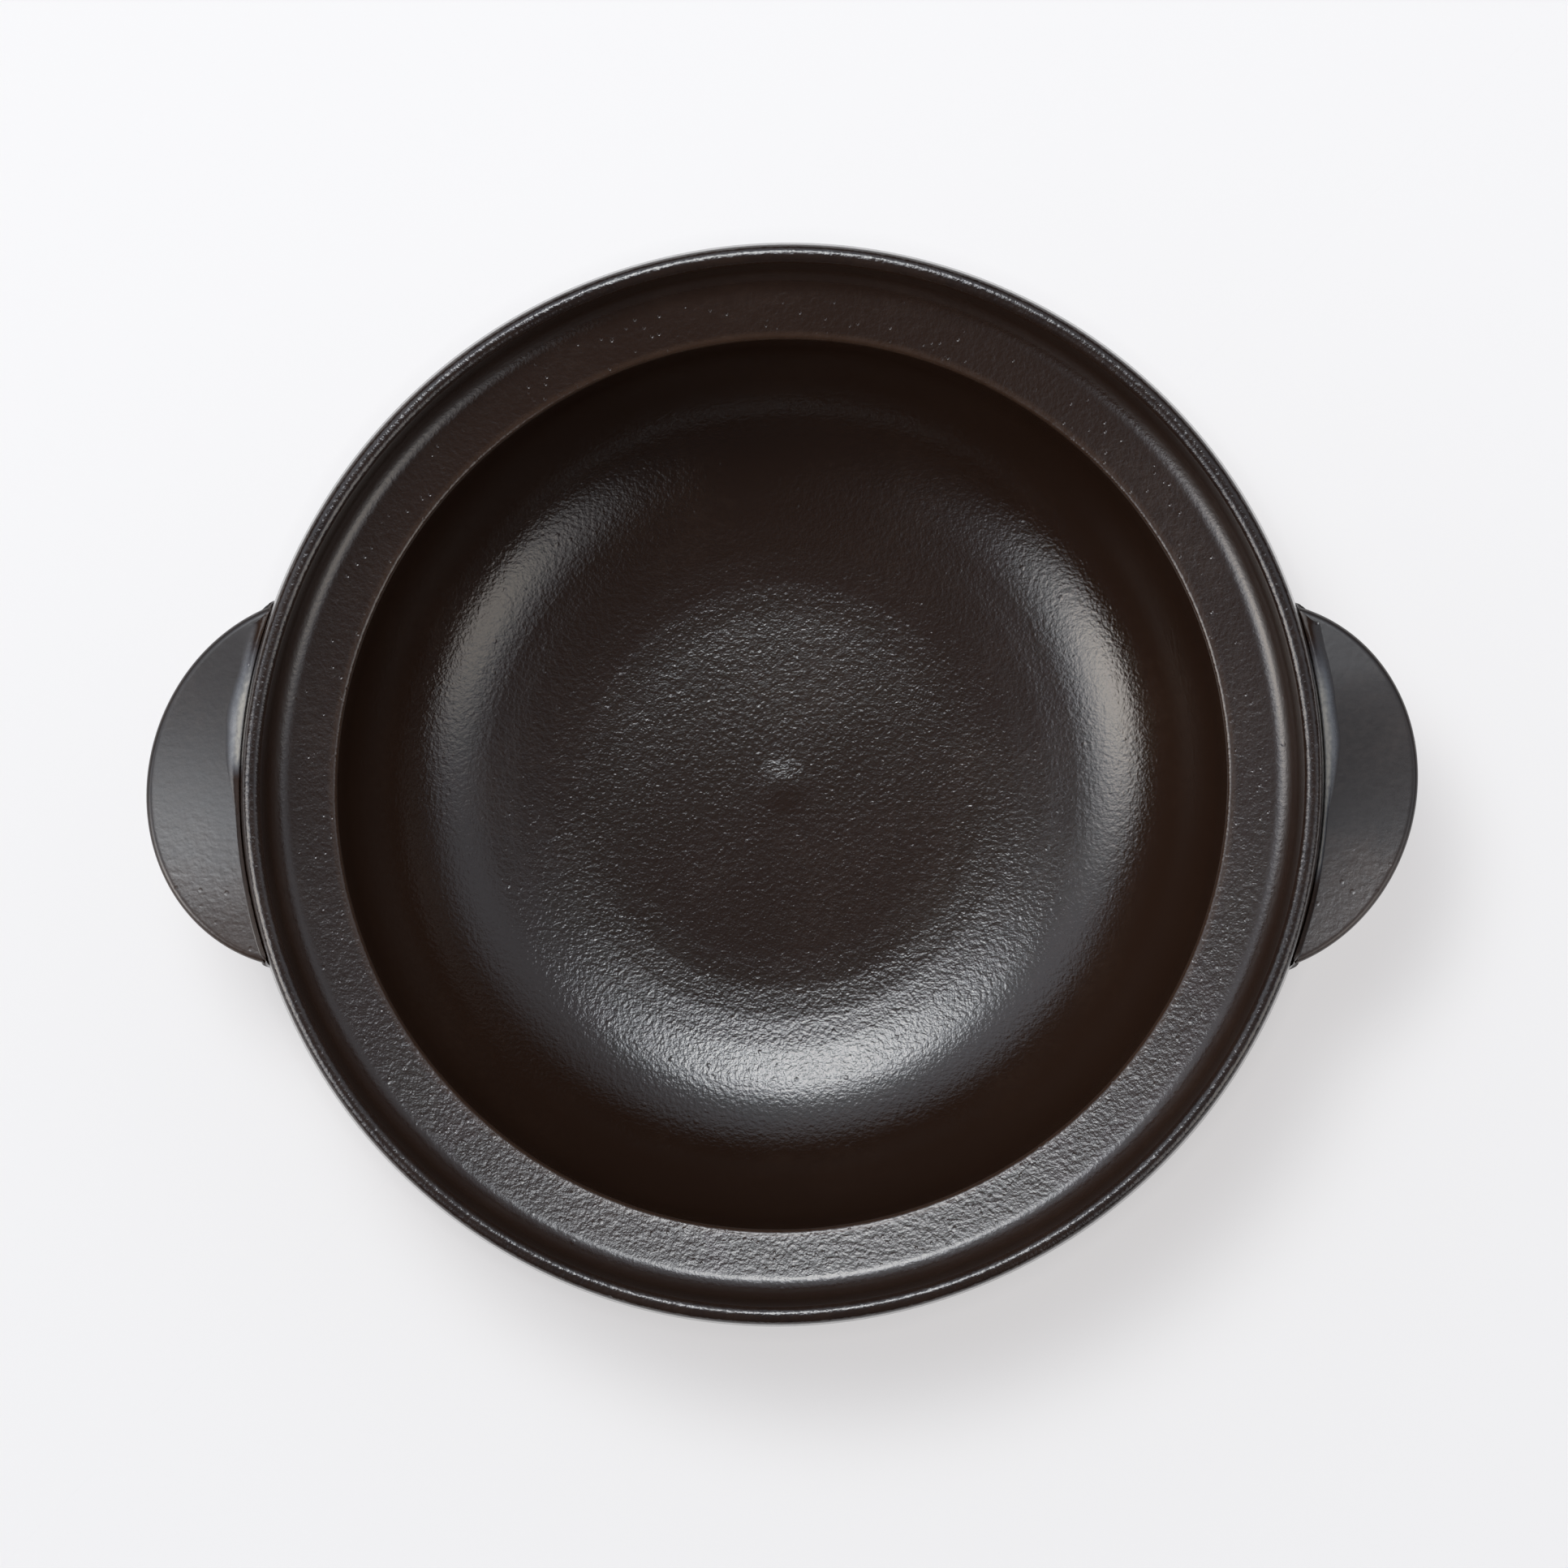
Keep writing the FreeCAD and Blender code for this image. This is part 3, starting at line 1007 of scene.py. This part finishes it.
def make_world(glows):
    """A studio that is dim in front and near the ground, with a glow round each direction.

    Each glow has a direction, a sharpness and a radiance.
    """
    world = bpy.data.worlds.new("dim_studio")
    world.use_nodes = True
    tree = world.node_tree
    outward = add(tree, "ShaderNodeTexCoord").outputs["Generated"]
    masks = []
    for direction, sharpness, radiance in glows:
        facing = add(tree, "ShaderNodeVectorMath", {0: outward, 1: direction}, operation="DOT_PRODUCT")
        ahead = calc(tree, "MAXIMUM", facing.outputs["Value"], 0.0)
        masks.append((calc(tree, "POWER", ahead, sharpness), radiance))
    up = add(tree, "ShaderNodeSeparateXYZ", {"Vector": outward}).outputs["Z"]
    above_ground = rising(tree, up, *(math.cos(math.radians(zenith)) for zenith in glow_ground_zeniths))
    glow = calc(tree, "MULTIPLY", weigh(tree, *masks), above_ground)
    background = tree.nodes["Background"]
    background.inputs["Color"].default_value = cool_light
    tree.links.new(calc(tree, "ADD", glow, studio_dimness), background.inputs["Strength"])
    bpy.context.scene.world = world


def make_camera():
    """The camera that looks straight down, as the photograph does."""
    data = bpy.data.cameras.new("overhead_camera")
    data.sensor_width = camera_sensor_width
    data.lens = camera_sensor_width * (camera_height - pot_height) / camera_field_at_rim
    camera = bpy.data.objects.new("overhead_camera", data)
    camera.location = (camera_x, camera_y, camera_height)
    bpy.context.scene.collection.objects.link(camera)
    bpy.context.scene.camera = camera


# Everything put together; the left ear's setting is in the axes of the right ear, turned half round

ears_finish = ear_glaze()
right_slip = slip_glaze_and_highlight("right_slip_glaze_and_highlight", right_highlight_end_y)
left_slip = slip_glaze_and_highlight("left_slip_glaze_and_highlight", left_highlight_end_y)
right_setting = (-math.tan(right_ear_lean), right_hollow_y)
left_setting = (math.tan(left_ear_lean), -left_hollow_y)
make_pot_body(pot_glaze())
make_ear("right_ear_glazed", "right_handle", 0, right_setting, ears_finish)
make_ear("left_ear_glazed", "left_handle", math.pi, left_setting, ears_finish)
make_slip_seam("right_seam_glazed", "right_slip_seam", 0, right_setting, right_slip)
make_slip_seam("left_seam_glazed", "left_slip_seam", math.pi, left_setting, left_slip)
make_floor()
make_lamp("back_softbox", direction_to(98, 23.4), distance=1.6, width=1.2, height=0.95,
          hot_share=0.5, colour=neutral_light, radiance=9.8, lit=pot_only)
make_lamp("left_panel", direction_to(195, 50), distance=1.5, width=1.6, height=1.56,
          hot_share=0.4, colour=warm_light, radiance=4.4, lit=pot_only)
make_lamp("right_panel", direction_to(330, 50), distance=1.5, width=1.6, height=1.56,
          hot_share=0.4, colour=warm_light, radiance=1.8, lit=pot_only)
make_lamp("floor_softbox", direction_to(122, 17.5), distance=2.2, width=1.1, height=1.1,
          hot_share=0.5, colour=neutral_light, radiance=37.0, lit=paper_only)
make_world([
    (direction_to(98, 44), 7.0, 0.95),
    (direction_to(150, 50), 14.0, 0.8),
    (direction_to(200, 42), 14.0, 0.65),
    (direction_to(14, 44), 12.0, 0.6),
])
make_camera()
bpy.context.scene.view_settings.view_transform = "Standard"
